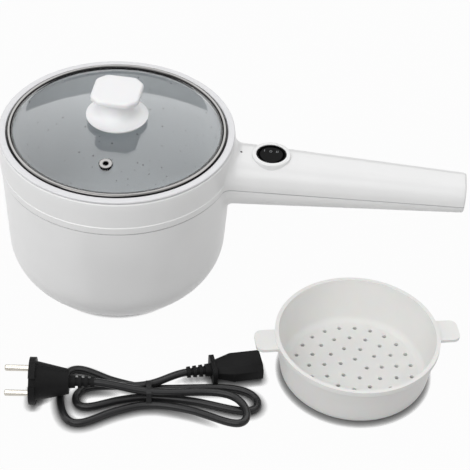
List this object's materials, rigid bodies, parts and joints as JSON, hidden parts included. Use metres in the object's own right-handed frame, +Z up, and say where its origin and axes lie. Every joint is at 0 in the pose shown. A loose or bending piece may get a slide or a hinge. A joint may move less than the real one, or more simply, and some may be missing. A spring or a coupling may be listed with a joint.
{
  "type": "electric pot",
  "caption": "Round electric cooking pot with a long side handle, rocker switch, lift-off domed glass lid with knob, steam basket and a detachable lead.",
  "frame": {"origin": "point on the table under the pot's axis", "axes": "+X along the handle away from the pot, +Z up along the pot's axis"},
  "size_m": [0.3754, 0.2784, 0.1844],
  "materials": {
    "white_housing": "satin gloss lacquer",
    "white_collar": "satin",
    "pot_coating": "grey speckled non-stick coating",
    "polished_steel": "polished",
    "lid_glass": "clear",
    "white_knob": "gloss",
    "clear_rubber": "translucent",
    "black_switch": "gloss",
    "lamp_lens": "clear lens",
    "brass_terminal": "bare",
    "plated_pin": "nickel plated",
    "black_plastic": "matte",
    "bare_aluminium": "cast",
    "steel_sheet": "bare sheet",
    "screw_steel": "zinc plated",
    "white_base": "matte",
    "foot_rubber": "matte",
    "white_basket": "satin",
    "cord_black": "satin sheath",
    "tie_black": "satin",
    "wire_brown": "satin",
    "wire_blue": "satin",
    "wire_green": "satin",
    "wire_red": "satin"
  },
  "bodies": {
    "pot": {"upper_housing": "white_housing", "lower_housing": "white_housing", "handle_screws": "screw_steel", "rim_collar": "white_collar", "inner_pot": "pot_coating", "switch_housing": "black_switch", "switch_terminals": "brass_terminal", "indicator_lamp": "lamp_lens", "power_inlet": "black_plastic", "inlet_pins": "plated_pin", "heating_plate": "bare_aluminium", "heating_tube": "steel_sheet", "thermostat": "black_plastic", "thermal_fuse": "bare_aluminium", "heat_shield": "steel_sheet", "base_cover": "white_base", "base_screws": "screw_steel", "rubber_feet": "foot_rubber", "wire_live": "wire_brown", "wire_neutral": "wire_blue", "wire_earth": "wire_green", "wire_switched": "wire_red", "wire_link": "wire_red", "power_lead": "cord_black", "cord_tie": "tie_black", "mains_plug": "black_plastic", "plug_pins": "plated_pin", "lead_connector": "black_plastic", "connector_contacts": "plated_pin"},
    "lid": {"lid_hoop": "polished_steel", "lid_glass": "lid_glass", "vent_grommet": "polished_steel", "knob_gasket": "clear_rubber", "lid_knob": "white_knob", "knob_washer": "clear_rubber", "knob_screw": "screw_steel"},
    "rocker": {"switch_rocker": "black_switch"},
    "basket": {"steam_basket": "white_basket"}
  },
  "joints": [
    {"name": "lid_lift", "type": "slide", "parent": "pot", "child": "lid", "axis": [0, 0, 1], "range_m": [0, 0.12]},
    {"name": "rocker_tilt", "type": "hinge", "parent": "pot", "child": "rocker", "pos_m": [0.122, 0, 0.13096], "axis": [0, 1, 0], "range_deg": [-9, 9]},
    {"name": "basket_lift", "type": "slide", "parent": "pot", "child": "basket", "axis": [0, 0, 1], "range_m": [0, 0.12]}
  ]
}
